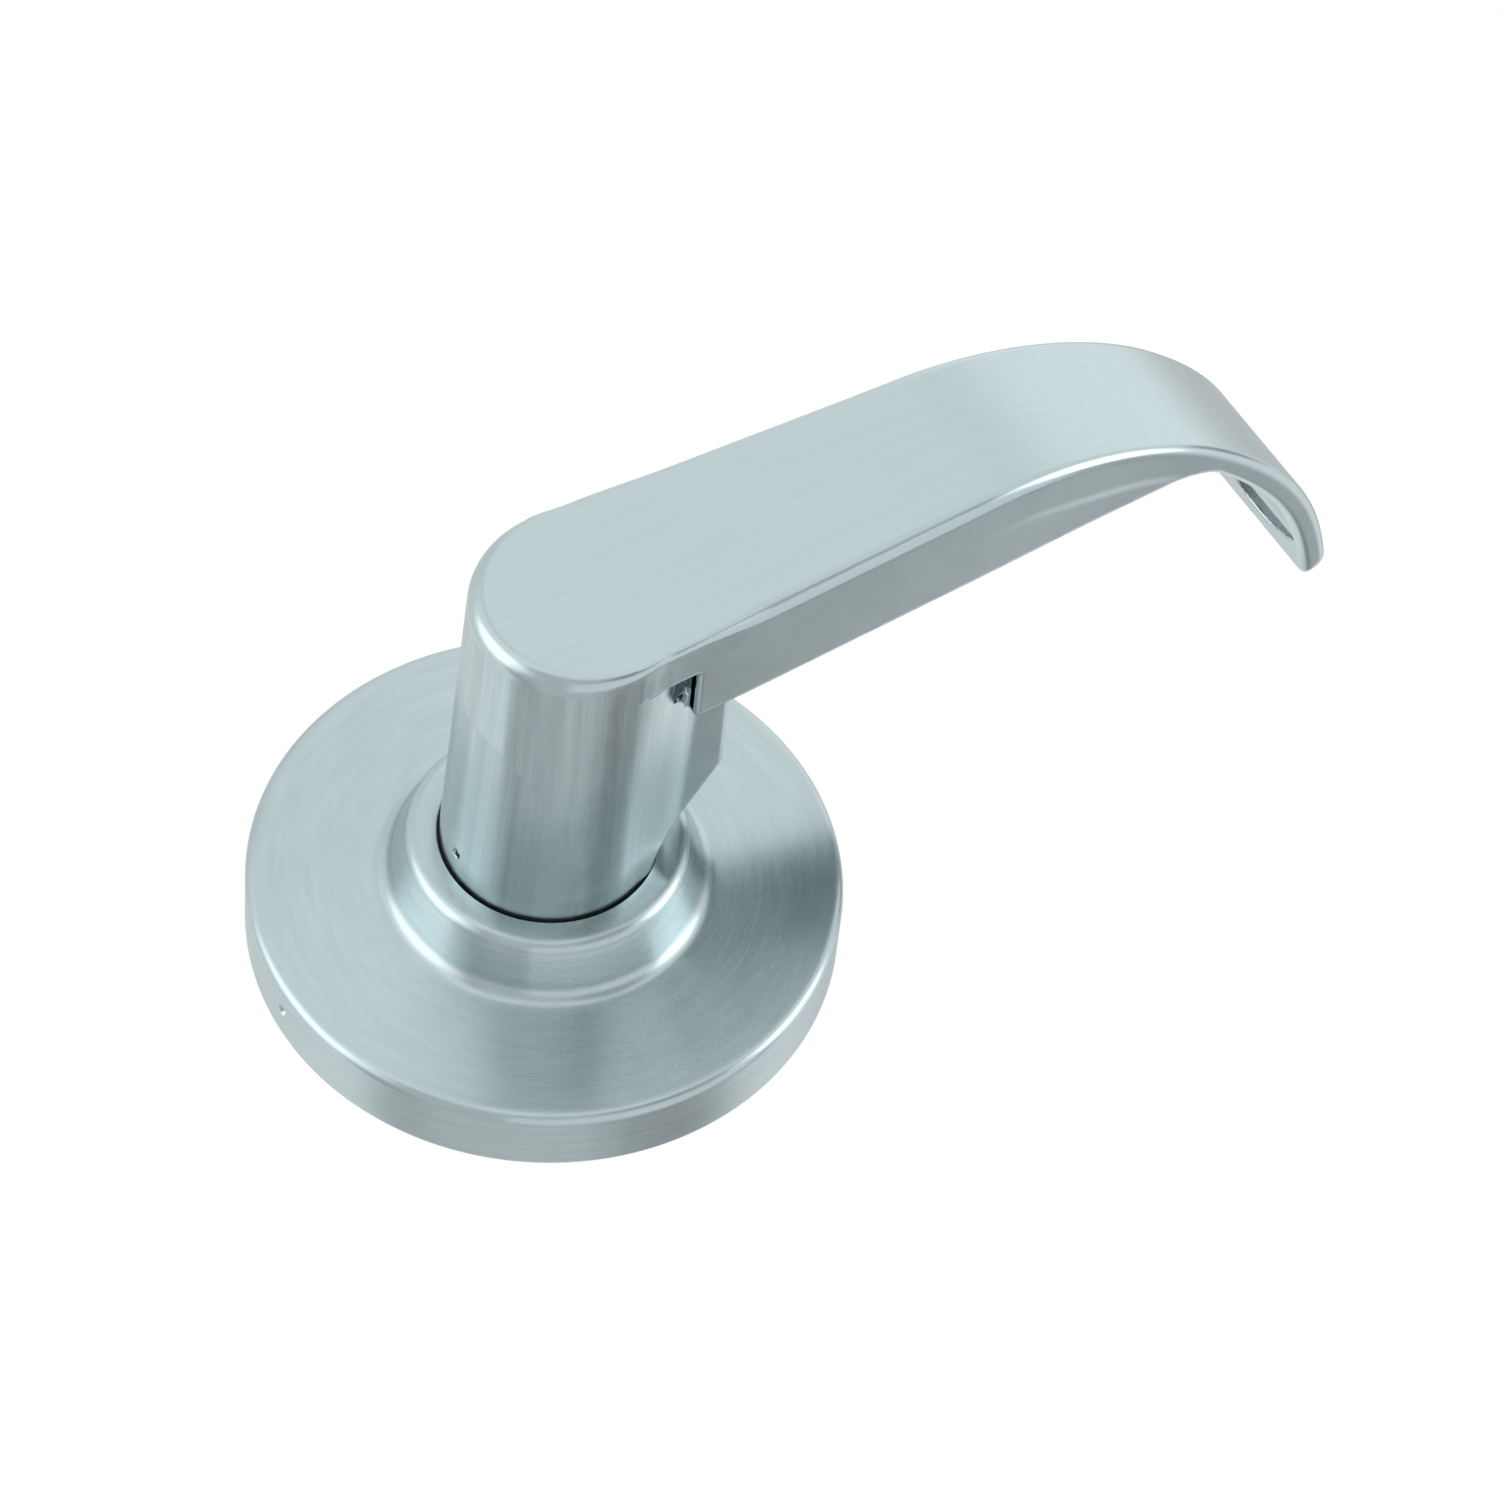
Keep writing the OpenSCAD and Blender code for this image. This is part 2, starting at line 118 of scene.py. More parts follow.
EDGE_T = 4.0
TIP_EDGE_T = 4.6
TIP_EDGE_OVER = (100, 122)
TIP_LIP = 1.2
TIP_LIP_OVER = (2.4, 3.6)
SKIRT_Z = 58.0
SKIRT_FROM = 13.4
INNER_FILLET = 2.6
TOP_WALL = 1.9
SIDE_WALL = 2.4
BAND_DEPTH = 6.8
BAND_END_DEPTH = 4.5
BAND_OVER = (78, 102)
BAND_SOFT = 2.2
BAND_STEP = 0.17
STEP_IN = (60, 84)
STEP_OUT = (97, 107)
CHANNEL_FROM = 22.5
CHANNEL_ROUND = 1.0

NOTCH_FROM = 10.8
NOTCH_TOP = 68.0
NOTCH_FLOOR = 61.5
NOTCH_HALF = 10.4
NOTCH_SLOPE = 0.95
WEB_HALF = 12.2
WEB_END = 21.6
WEB_CORNER_Z = 39.0
WEB_FOOT = (12.4, 26.0)
HUB_FILLET = 3.0

# where the web and the bridge over the notch start, buried inside the hub
WEB_FROM = 4.0
BRIDGE_FROM = 3.0

# small roundings: seams, the web's corners, the tip, the lower edge, the hollows' floors and mouths
SEAM = 0.5
WEB_ROUND = 1.0
WEB_RIB_ROUND = 0.8
RIB_SEAM = 0.4
TIP_SEAM = 0.8
LOWER_EDGE = 0.7
LOWER_EDGE_OVER = (92, 108)
HOLLOW_FLOOR = 0.8
POCKET_CORNER = 0.3
POCKET_EDGE = 0.35
HOLE_EDGE = 0.2

SOCKET_R = 11.06
SOCKET_TOP = 47.5
SOCKET_ROUND = 0.4
DOG_R = 1.7
DOG_AT = 13.6
DOG_TOP = 10.0
PICK_R = 0.8
PICK_EDGE = 0.25
PICK_Z = 26.0
PICK_POCKET_R = 2.6
PICK_POCKET_TO = 14.2


# ---------------------------------------------------------------- signed distances
def round_max(a, b, r):
    """Intersection of two distances with its outer edge rounded to radius r."""
    return np.minimum(-r, np.maximum(a, b)) + np.hypot(np.maximum(a + r, 0), np.maximum(b + r, 0))


def round_min(a, b, r):
    """Union of two distances with its inner corner filleted to radius r."""
    return -round_max(-a, -b, r)


def ramp(t, k):
    return 0.5 * (t + np.sqrt(t * t + k * k))


def smooth_step(t, low, high):
    s = np.clip((t - low) / (high - low), 0, 1)
    return s * s * (3 - 2 * s)


def half_width(x):
    """Half of the blade's width in plan: full at the hub, narrowing to the grip."""
    taper = TAPER * ramp(TAPER_END - x, TAPER_SOFT)
    taper = taper + SWELL * np.exp(-(((x - SWELL_AT) / SWELL_AT) ** 2))
    return GRIP_HALF + taper + SHOULDER * smooth_step(x, *SHOULDER_OVER)


def outer_distance(x, z):
    """Distance to the lever's outer face in side view: flat top, bend, soft crease, return."""
    bend = np.where(x < FLAT_END, z - LEVER_TOP, np.hypot(x - BEND_X, z - BEND_Z) - BEND_R)
    back = np.hypot(x - RETURN_X, z - RETURN_Z) - RETURN_R
    near = np.maximum(CREASE_SOFT - np.abs(bend - back), 0)
    return np.minimum(bend, back) - near**2 / (4 * CREASE_SOFT)


def end_distance(x, z, angle):
    """Distance past the radial line at that angle of the return."""
    return (x - RETURN_X) * math.cos(angle) - (z - RETURN_Z) * math.sin(angle)


def edge_radius(x):
    """Rounding of the outer face's edge: wide behind the hub, tight beside it, then along the grip."""
    edge = FACE_EDGE + FACE_EDGE_BEHIND * (1 - smooth_step(x, *BEHIND_OVER))
    edge = edge + FACE_EDGE_GRIP * smooth_step(x, *GRIP_OVER)
    return edge - FACE_EDGE_BEND * smooth_step(x, *BEND_OVER)


def lever_distance(x, y, z, hollows=True):
    """Distance to the lever; without its hollows, to its polished skin only."""
    side = np.abs(y)
    outer = outer_distance(x, z)
    band = BAND_DEPTH + (BAND_END_DEPTH - BAND_DEPTH) * smooth_step(x, *BAND_OVER)
    step = BAND_STEP * smooth_step(x, *STEP_IN) * (1 - smooth_step(x, *STEP_OUT))
    lateral = side - half_width(x) + step * smooth_step(-outer, band, band + BAND_SOFT)

    # the blade seen from the side: skirt, shell of the return, and the bridge over the notch
    edge_t = EDGE_T + (TIP_EDGE_T - EDGE_T) * smooth_step(x, *TIP_EDGE_OVER)
    skirt = round_min(SKIRT_Z - z, -edge_t - outer, INNER_FILLET)
    skirt = round_max(skirt, SKIRT_FROM - x, SEAM)
    skirt = round_max(skirt, TIP_Z - z, TIP_SEAM)
    bridge = np.maximum(NOTCH_TOP - z, BRIDGE_FROM - x)
    lower_edge = LOWER_EDGE * (1 + smooth_step(x, *LOWER_EDGE_OVER))
    blade = round_max(lateral, round_min(skirt, bridge, SEAM), lower_edge)

    # the leaning hub
    rise = np.clip((z - HUB_BASE_Z) / (LEVER_TOP - HUB_BASE_Z), 0, 1)
    hub = np.hypot(x - HUB_LEAN * rise, y) - (HUB_R - (HUB_R - HUB_TOP_R) * rise)

    # the web below the notch, and the narrower one behind it
    foot_x, foot_z = WEB_FOOT
    length = math.hypot(WEB_END - foot_x, WEB_CORNER_Z - foot_z)
    foot = ((x - foot_x) * (WEB_CORNER_Z - foot_z) - (z - foot_z) * (WEB_END - foot_x)) / length
    web_side = round_max(round_max(x - WEB_END, foot, WEB_ROUND), z - NOTCH_FLOOR, SEAM)
    web = round_max(round_max(side - WEB_HALF, web_side, WEB_ROUND), WEB_FROM - x, SEAM)
    rib = round_max(round_max(side - NOTCH_HALF, x - WEB_END, WEB_RIB_ROUND), WEB_CORNER_Z - z, SEAM)
    rib = np.maximum(rib, WEB_FROM - x)

    # the notch beside the hub, deeper towards the skirt
    core = round_min(hub, web, HUB_FILLET)
    if hollows:
        slope = NOTCH_SLOPE * (SKIRT_FROM - x)
        notch = np.maximum(np.maximum(NOTCH_FROM - x, x - SKIRT_FROM), NOTCH_HALF + slope - side)
        notch = np.maximum(notch, np.maximum(NOTCH_FLOOR - z, z - NOTCH_TOP))
        core = round_max(core, -notch, SEAM)

    body = round_min(round_min(core, blade, SEAM), rib, RIB_SEAM)
    lip = TIP_LIP * smooth_step(-outer, *TIP_LIP_OVER)
    corner = round_max(outer, TIP_Z - z - lip, TIP_ROUND)
    body = round_max(body, np.where(x > BEND_X, corner, outer), edge_radius(x))

    if not hollows:
        return body

    # the channel under the top wall, and the pocket in the return's inner face
    channel = round_max(side - half_width(x) + SIDE_WALL, outer + TOP_WALL, HOLLOW_FLOOR)
    channel = round_max(channel, end_distance(x, z, CHANNEL_END_A), SEAM)
    channel = round_max(channel, CHANNEL_FROM - x, CHANNEL_ROUND)
    body = round_max(body, -channel, SEAM)
    low_end = end_distance(x, z, POCKET_TO_A) + POCKET_CROWN * (side / POCKET_HALF) ** POCKET_POWER
    pocket = round_max(np.maximum(side - POCKET_HALF, outer + TOP_WALL), low_end, HOLLOW_FLOOR)
    pocket = round_max(pocket, -end_distance(x, z, POCKET_FROM_A), POCKET_CORNER)
    pocket = np.where((x > BEND_X) & (z < POCKET_BELOW_Z), pocket, FAR_OFF)
    body = round_max(body, -pocket, POCKET_EDGE)

    # the socket for the spindle, the two dog holes and the release hole
    across = np.hypot(x, y)
    socket = round_max(across - SOCKET_R, z - SOCKET_TOP, SOCKET_ROUND)
    body = round_max(body, -socket, SOCKET_ROUND)
    body = round_max(body, SHANK_Z - z, SEAM)
    dogs = np.hypot(np.abs(x) - DOG_AT, y) - DOG_R
    body = round_max(body, -np.maximum(dogs, z - DOG_TOP), HOLE_EDGE)
    from_pick = np.hypot(y, z - PICK_Z)
    pick = np.maximum(from_pick - PICK_R, x)
    seat = np.maximum(from_pick - PICK_POCKET_R, np.maximum(x, -x - PICK_POCKET_TO))
    return round_max(round_max(body, -pick, PICK_EDGE), -seat, HOLE_EDGE)


# ---------------------------------------------------------------- mesh of a distance field
def net_of(distance, low, high, cell):
    """Quads on the zero level of distance: one vertex in each cell that the surface crosses."""
    axes = [np.arange(a, b + cell, cell) for a, b in zip(low, high)]
    x, y, z = np.meshgrid(*axes, indexing="ij", sparse=True)
    field = distance(x, y, z).astype(np.float32)
    inside = field < 0
    corners = [(i, j, k) for i in (0, 1) for j in (0, 1) for k in (0, 1)]
    shape = tuple(n - 1 for n in field.shape)

    def part(array, corner):
        return array[tuple(slice(c, c + n) for c, n in zip(corner, shape))]

    count = sum(part(inside, c).astype(np.int8) for c in corners)
    crossed = (count > 0) & (count < 8)
    number = np.full(shape, -1, np.int64)
    number[crossed] = np.arange(crossed.sum())
    total = np.zeros((crossed.sum(), 3))
    hits = np.zeros(crossed.sum())
    for a in corners:
        for axis in range(3):
            if a[axis]:
                continue
            b = tuple(v + (n == axis) for n, v in enumerate(a))
            fa, fb = part(field, a)[crossed], part(field, b)[crossed]
            cut = (fa < 0) != (fb < 0)
            share = np.where(cut, fa / np.where(cut, fa - fb, 1), 0)
            at = np.tile(np.array(a, float), (len(fa), 1))
            at[:, axis] += share
            total += at * cut[:, None]
            hits += cut
    points = np.stack(np.nonzero(crossed), 1) + total / hits[:, None]
    points = points * cell + np.array([a[0] for a in axes])

    quads = []
    for axis in range(3):
        one, two = [(1, 2), (2, 0), (0, 1)][axis]
        here = inside.take(range(field.shape[axis] - 1), axis)
        there = inside.take(range(1, field.shape[axis]), axis)
        for flip, mask in ((False, here & ~there), (True, ~here & there)):
            i = np.stack(np.nonzero(mask), 1)
            i = i[(i[:, one] > 0) & (i[:, two] > 0)]
            i = i[(i[:, one] < field.shape[one] - 1) & (i[:, two] < field.shape[two] - 1)]
            ring = []
            for da, db in ((1, 1), (0, 1), (0, 0), (1, 0)):
                c = i.copy()
                c[:, one] -= da
                c[:, two] -= db
                ring.append(number[c[:, 0], c[:, 1], c[:, 2]])
            ring = np.stack(ring, 1)
            quads.append(ring[:, ::-1] if flip else ring)
    return points, np.concatenate(quads)


def gradient(distance, points, step):
    x, y, z = points.T
    return np.stack(
        [
            distance(x + step, y, z) - distance(x - step, y, z),
            distance(x, y + step, z) - distance(x, y - step, z),
            distance(x, y, z + step) - distance(x, y, z - step),
        ],
        1,
    ) / (2 * step)


def settle(distance, points, rounds=3, step=0.03, reach=0.3):
    """Moves points onto the zero level, at most reach each round, and returns them and the normals."""
    for _ in range(rounds):
        slope = gradient(distance, points, step)
        square = np.maximum((slope**2).sum(1), 0.05)
        push = np.clip(distance(*points.T) / square, -reach, reach)
        points = points - slope * push[:, None]
    slope = gradient(distance, points, step * 2)
    return points, slope / np.maximum(np.linalg.norm(slope, axis=1), 1e-9)[:, None]


def mesh_piece(name, points, faces, normals=None):
    """A smooth mesh object in the row frame."""
    mesh = bpy.data.meshes.new(name)
    mesh.from_pydata(np.asarray(points).tolist(), [], [tuple(int(i) for i in face) for face in faces])
    mesh.polygons.foreach_set("use_smooth", np.ones(len(mesh.polygons), bool))
    mesh.update()
    if normals is not None:
        mesh.normals_split_custom_set_from_vertices(np.asarray(normals).tolist())
    piece = bpy.data.objects.new(name, mesh)
    bpy.context.scene.collection.objects.link(piece)
    return piece


def give_vectors(piece, name, vectors):
    values = piece.data.attributes.new(name, "FLOAT_VECTOR", "POINT")
    values.data.foreach_set("vector", np.asarray(vectors, np.float32).ravel())


# ---------------------------------------------------------------- lever
HUB_POLISH_BELOW = 1.5
HUB_POLISH_ROOM = 1.0
HUB_POLISH_END = 18.0
LINED_BELOW = 3.0
LINED_OVER = (6, 12)
RAW_DEPTH = (0.2, 0.8)
# depths into the hollows over which painted shade sets in and grows
PAINTED_SHADE_DEPTH = (0.5, 5)
CELL = 0.5
CELL_ROOM = 1.0
SIDE_ROOM = 1.3
TIP_ROOM = 2.0


def bend_angles(x, z):
    """Angles of a point round the bend's centre and round the return's centre."""
    return np.arctan2(x - BEND_X, z - BEND_Z), np.arctan2(x - RETURN_X, z - RETURN_Z)


def on_hub(x, y, z):
    """True on the hub, where grain and gloss follow the hub's axis and not the blade."""
    near = np.hypot(x - HUB_LEAN, y) < HUB_R + HUB_POLISH_ROOM
    return near & (z < LEVER_TOP - HUB_POLISH_BELOW) & (x < HUB_POLISH_END)


def gloss_direction(points, normals):
    """Way in which the polish spreads light: across the blade, and along the hub's axis."""
    x, y, z = points.T
    bend, back = bend_angles(x, z)
    angle = np.where(x < FLAT_END, 0, np.where(bend > CREASE_A, back, bend))
    along = np.stack([np.cos(angle), 0 * x, -np.sin(angle)], 1)
    up = np.stack([0 * x, 0 * x, 1 + 0 * x], 1)
    across = np.cross(normals, along)
    across = across / np.maximum(np.linalg.norm(across, axis=1), 1e-6)[:, None]
    return np.where(on_hub(x, y, z)[:, None], up, across)


def grain_place(points):
    """Place on the polished surface in millimetres: along the polish, across it, and depth."""
    x, y, z = points.T
    bend, back = bend_angles(x, z)
    on_bend = FLAT_END + BEND_R * np.clip(bend, 0, CREASE_A)
    on_return = np.where(bend > CREASE_A, RETURN_R * (back - RETURN_FROM_A), 0)
    along = np.where(x < FLAT_END, x, on_bend + on_return)
    blade = np.stack([along, y, z], 1)
    turn = np.arctan2(y, x - HUB_LEAN) * HUB_R
    hub = np.stack([z, turn, np.hypot(x, y)], 1)
    return np.where(on_hub(x, y, z)[:, None], hub, blade)


def build_lever():
    """The casting; its vertices carry the polish, the unpolished hollows and painted shade deep in the
    hollows for the material.
    """
    low = (-HUB_R - CELL_ROOM, -HUB_R - SIDE_ROOM, SHANK_Z - CELL_ROOM)
    high = (LEVER_HIGH.x / MM + TIP_ROOM, HUB_R + SIDE_ROOM, LEVER_TOP + CELL_ROOM)
    points, quads = net_of(lever_distance, low, high, CELL)
    points, normals = settle(lever_distance, points)
    piece = mesh_piece("lever_casting", to_world(points), quads, turn_to_world(normals))
    give_vectors(piece, "brush", turn_to_world(gloss_direction(points, normals)))
    give_vectors(piece, "grain", grain_place(points))
    depth = np.maximum(-lever_distance(*points.T, hollows=False), 0)
    lined = (points[:, 2] < LEVER_TOP - LINED_BELOW) * (1 - smooth_step(points[:, 0], *LINED_OVER))
    # per vertex: share of unpolished casting, painted shade that grows deeper into the hollows, and the
    # lined hub
    cast_shade_and_lines = [smooth_step(depth, *RAW_DEPTH), smooth_step(depth, *PAINTED_SHADE_DEPTH), lined]
    give_vectors(piece, "cast_shade_and_lines", np.stack(cast_shade_and_lines, 1))
    return piece


# ---------------------------------------------------------------- rose
ROSE_SIDE = 11.3
ROSE_T = 1.1
RIM_ROUND = 1.4
FACE_R = 25.6
FACE_RISE = 0.6
FILLET_R = 2.6
CONE_FOOT = (22.85, 14.7)
CONE_TOP = (21.35, 19.2)
COLLAR_TOP_R = 21.2
COLLAR_ROUND = 1.9
COLLAR_HOLE_R = 16.4
DIMPLE_Z = 5.6
DIMPLE_R = 1.3
DIMPLE_FLOOR_R = 0.25
DIMPLE_DEPTH = 0.75
DIMPLE_AT = (0.0, math.pi)
SHEET_EDGE = 0.3
ROSE_SIDES = 320
FINE_REACH = 2.1
FINE_STEP = 0.15


def arc(cx, cz, r, start, end, steps):
    return [
        (cx + r * math.cos(a), cz + r * math.sin(a))
        for a in np.radians(np.linspace(start, end, steps))
    ]


def rose_outline(t):
    """Half section of the rose's skin, t below its outer face, from its foot to the collar's top."""
    rim_r, rim_z = ROSE_R - RIM_ROUND, ROSE_SIDE - RIM_ROUND
    slope = FACE_RISE / (rim_r - FACE_R)
    outline = [(ROSE_R - t, z) for z in np.arange(SHEET_EDGE, rim_z, 0.3)]
    outline += arc(rim_r, rim_z, RIM_ROUND - min(t, RIM_ROUND - 0.2), 0, 88, 9)
    for r in np.linspace(rim_r - 0.6, FACE_R + 0.4, 24):
        outline.append((r, ROSE_SIDE - t + slope * (rim_r - r)))
    outline += arc(FACE_R, ROSE_SIDE + FACE_RISE + FILLET_R, FILLET_R + t, 264, 192, 12)
    if t == 0:
        outline += [tuple(point) for point in np.linspace(CONE_FOOT, CONE_TOP, 8)]
    top_r, top_z = COLLAR_TOP_R - COLLAR_ROUND, COLLAR_H - COLLAR_ROUND
    return outline + arc(top_r, top_z, COLLAR_ROUND - t, 8, 90, 9)


def rose_section():
    outer = rose_outline(0)
    inner = rose_outline(ROSE_T)
    hole = arc(COLLAR_HOLE_R + SHEET_EDGE, COLLAR_H - SHEET_EDGE, SHEET_EDGE, 90, 180, 4)
    hole += [(COLLAR_HOLE_R, COLLAR_H - ROSE_T)]
    foot = arc(ROSE_R - SHEET_EDGE, SHEET_EDGE, SHEET_EDGE, 270, 360, 4)
    return foot[:-1] + outer + hole + inner[::-1] + [(ROSE_R - ROSE_T, 0)]


def lathe(section, angles):
    """Points and quads of a closed section (r, z) turned about the hub's axis."""
    r, z = np.array(section).T
    n, m = len(r), len(angles)
    points = np.stack(
        [np.outer(np.cos(angles), r), np.outer(np.sin(angles), r), np.tile(z, (m, 1))], -1
    ).reshape(-1, 3)
    i, j = np.meshgrid(np.arange(m), np.arange(n), indexing="ij")
    a = i * n + j
    b = (i + 1) % m * n + j
    c = (i + 1) % m * n + (j + 1) % n
    d = i * n + (j + 1) % n
    return points, np.stack([a, b, c, d], -1).reshape(-1, 4)


def angles_with_detail(count, spots, reach, step):
    """Even angles of a turn, with closer ones round each spot."""
    plain = np.arange(count) * 2 * math.pi / count
    away = np.abs((plain[:, None] - np.array(spots) + math.pi) % (2 * math.pi) - math.pi).min(1)
    fine = [s + d for s in spots for d in np.arange(-reach, reach + step / 2, step)]
    return np.sort(np.concatenate([plain[away > reach + step / 2], fine]) % (2 * math.pi))


def build_rose():
    angles = angles_with_detail(ROSE_SIDES, DIMPLE_AT, FINE_REACH / ROSE_R, FINE_STEP / ROSE_R)
    points, quads = lathe(rose_section(), angles)
    for spot in DIMPLE_AT:
        centre = np.array([math.cos(spot) * ROSE_R, math.sin(spot) * ROSE_R, DIMPLE_Z])
        away = np.linalg.norm(points - centre, axis=1)
        wall = np.hypot(points[:, 0], points[:, 1]) > ROSE_R - 0.05
        depth = np.where(wall, DIMPLE_DEPTH * (1 - smooth_step(away, DIMPLE_FLOOR_R, DIMPLE_R)), 0)
        points[:, 0] -= depth * math.cos(spot)
    return mesh_piece("rose_shell", to_world(points), quads)


# ---------------------------------------------------------------- posts and drive bar
POST_LOW, POST_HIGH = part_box("mounting_posts")
POST_R = POST_HIGH.x / MM
POST_Y = POST_HIGH.z / MM - POST_R
POST_BACK = -POST_HIGH.y / MM
POST_NECK_R = 2.6
POST_CHAMFER = 0.45
POST_TOP = -POST_LOW.y / MM
THREAD_R = 2.1
THREAD_DEPTH = 0.32
THREAD_PITCH = 0.75
THREAD_SIDES = 48
BORE_END = -3.2
AXIS_R = 0.02
BAR_LOW, BAR_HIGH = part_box("square_bar")
BAR_CORNER = 0.45
CORNER_STEPS = 5


def post_section():
    """Closed section of one post: chamfered sleeve with a thread inside and a swaged neck."""
    foot, edge = POST_BACK + POST_CHAMFER, POST_CHAMFER
    outside = [(POST_R - edge, POST_BACK), (POST_R - 0.12, POST_BACK + 0.12), (POST_R, foot)]
    outside += [(POST_R, z) for z in np.arange(POST_BACK + 2, -0.5, 2)]
    outside += [(POST_R, 0.0), (POST_R - 0.25, 0.25)]
    outside += [(POST_NECK_R, 0.28), (POST_NECK_R, POST_TOP - 0.2)]
    outside += [(POST_NECK_R - 0.2, POST_TOP), (AXIS_R, POST_TOP)]
    bore = [(AXIS_R, BORE_END), (THREAD_R - 0.2, BORE_END - 0.6)]
    for crest in np.arange(BORE_END - 1.0, POST_BACK + 1.4, -THREAD_PITCH):
        bore += [(THREAD_R - THREAD_DEPTH, crest), (THREAD_R, crest - THREAD_PITCH / 2)]
    return outside + bore + [(THREAD_R, POST_BACK + 0.7), (THREAD_R + 0.5, POST_BACK)]


def build_posts():
    angles = np.arange(THREAD_SIDES) * 2 * math.pi / THREAD_SIDES
    points, quads = lathe(post_section()[::-1], angles)
    shift = np.array([0, POST_Y, 0])
    both = np.concatenate([points + shift, points - shift])
    return mesh_piece("fixing_posts", to_world(both), np.concatenate([quads, quads + len(points)]))


def rounded_square(half, corner):
    centre = half - corner
    ring = []
    for quarter in range(4):
        for turn in np.radians(np.linspace(0, 90, CORNER_STEPS)):
            x, y = centre + corner * math.cos(turn), centre + corner * math.sin(turn)
            for _ in range(quarter):
                x, y = -y, x
            ring.append((x, y))
    return np.array(ring)


def build_bar():
    """Square drive bar with softened edges, chamfered where it enters the latch."""
    half = BAR_HIGH.x / MM
    back, front = -BAR_HIGH.y / MM, -BAR_LOW.y / MM
    stations = [(back, half - 0.95), (back + 0.15, half - 0.7), (back + 0.9, half - 0.1)]
    stations.append((back + 1.2, half))
    stations += [(z, half) for z in np.arange(back + 4, front - 2, 4)]
    stations += [(front - 0.5, half), (front, half - 0.4)]
    sides = 4 * CORNER_STEPS
    points = np.concatenate(
        [np.column_stack([rounded_square(h, BAR_CORNER), np.full(sides, z)]) for z, h in stations]
    )
    faces = []
    for base in range(0, len(points) - sides, sides):
        for i in range(sides):
            j = (i + 1) % sides
            faces.append((base + i, base + j, base + sides + j, base + sides + i))
    faces.append(tuple(range(sides - 1, -1, -1)))
    faces.append(tuple(range(len(points) - sides, len(points))))
    return mesh_piece("drive_bar", to_world(points), faces)


# ---------------------------------------------------------------- materials
class Net:
    """The nodes of a material or of the world, and short ways to add to them."""

    def __init__(self, owner):
        owner.use_nodes = True
        self.owner = owner
        self.tree = owner.node_tree

    def fill(self, node, values):
        for key, value in values.items():
            if isinstance(value, bpy.types.NodeSocket):
                self.tree.links.new(value, node.inputs[key])
            else:
                node.inputs[key].default_value = value
        return node

    def node(self, kind, values=None, **settings):
        node = self.tree.nodes.new("ShaderNode" + kind)
        for key, value in settings.items():
            setattr(node, key, value)
        return self.fill(node, values or {})

    def math(self, operation, a, b=0.0):
        return self.node("Math", {0: a, 1: b}, operation=operation).outputs[0]

    def noise(self, vector, scale, detail=3.0, roughness=0.55):
        values = {"Vector": vector, "Scale": scale, "Detail": detail, "Roughness": roughness}
        return self.node("TexNoise", values).outputs["Fac"]

    def stretch(self, vector, scale):
        return self.node("Mapping", {"Vector": vector, "Scale": scale}).outputs["Vector"]

    def span(self, value, low, high, to_low, to_high, curve="LINEAR"):
        values = {"Value": value, "From Min": low, "From Max": high}
        values.update({"To Min": to_low, "To Max": to_high})
        return self.node("MapRange", values, interpolation_type=curve).outputs["Result"]

    def spread(self, value, to_low=0.0, to_high=1.0):
        """The usual range of a noise, stretched over the given one."""
        return self.span(value, 0.3, 0.7, to_low, to_high)

    def mix(self, share, one, two):
        paints = [v if isinstance(v, bpy.types.NodeSocket) else (*v, 1) for v in (one, two)]
        return self.node("Mix", {0: share, 6: paints[0], 7: paints[1]}, data_type="RGBA").outputs[2]

    def bump(self, height, strength, distance, normal=None):
        values = {"Height": height, "Strength": strength, "Distance": distance}
        if normal is not None:
            values["Normal"] = normal
        return self.node("Bump", values).outputs["Normal"]

    def set(self, values):
        """Fills the shader's own sockets, and gives the finished material."""
        self.fill(self.tree.nodes["Principled BSDF"], values)
        return self.owner


def material_net(name):
    return Net(bpy.data.materials.new(name))


def tint(colour, share):
    return tuple(min(1.0, c * share) for c in colour)


SATIN = (0.54, 0.632, 0.648)
RAW_CAST = (0.52, 0.585, 0.59)
PER_METRE = 1000.0


